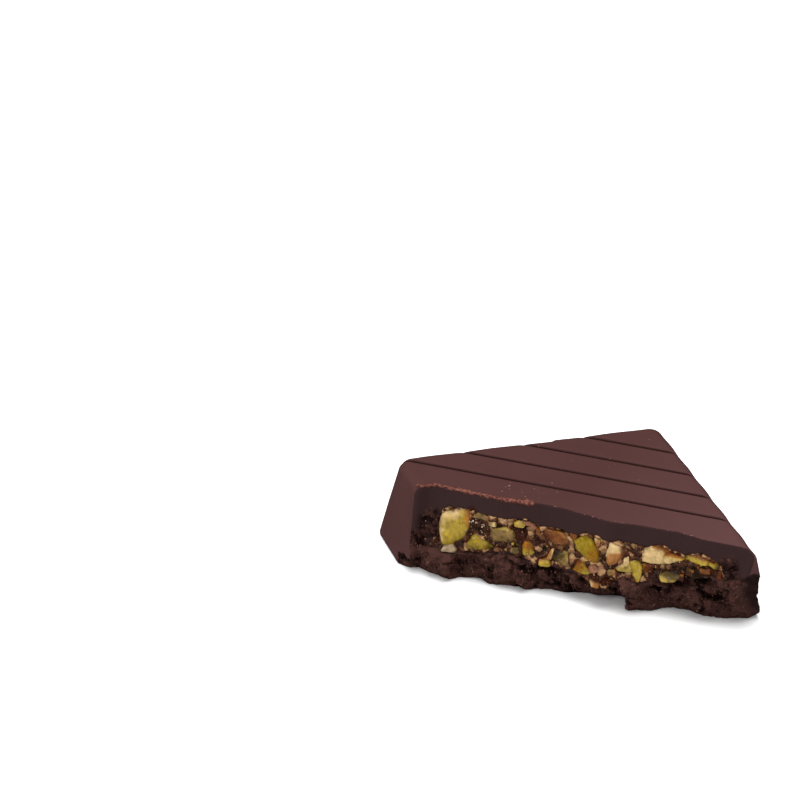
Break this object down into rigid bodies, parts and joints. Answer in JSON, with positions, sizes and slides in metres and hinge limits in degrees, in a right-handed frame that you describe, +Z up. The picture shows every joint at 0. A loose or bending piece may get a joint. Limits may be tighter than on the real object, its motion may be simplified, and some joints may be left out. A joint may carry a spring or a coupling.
{
  "type": "cut filled chocolate square",
  "caption": "Half of a moulded dark chocolate square with grooves across its top, cut across the corner to show a chopped pistachio and nougatine filling over a broken base.",
  "frame": {"origin": "on the surface it lies on, under the middle of its bounding box", "axes": "+Z up; +X along the diagonal of the square, from left to right seen from the cut; +Y from the cut towards the whole corner"},
  "size_m": [0.054, 0.0366, 0.0116],
  "materials": {
    "dark_chocolate": "satin dark chocolate with a red-brown cast",
    "nut_filling": "chopped pistachio in caramel, partly glossy"
  },
  "bodies": {
    "root": {"chocolate": "dark_chocolate", "pistachio_filling": "nut_filling"}
  },
  "joints": []
}
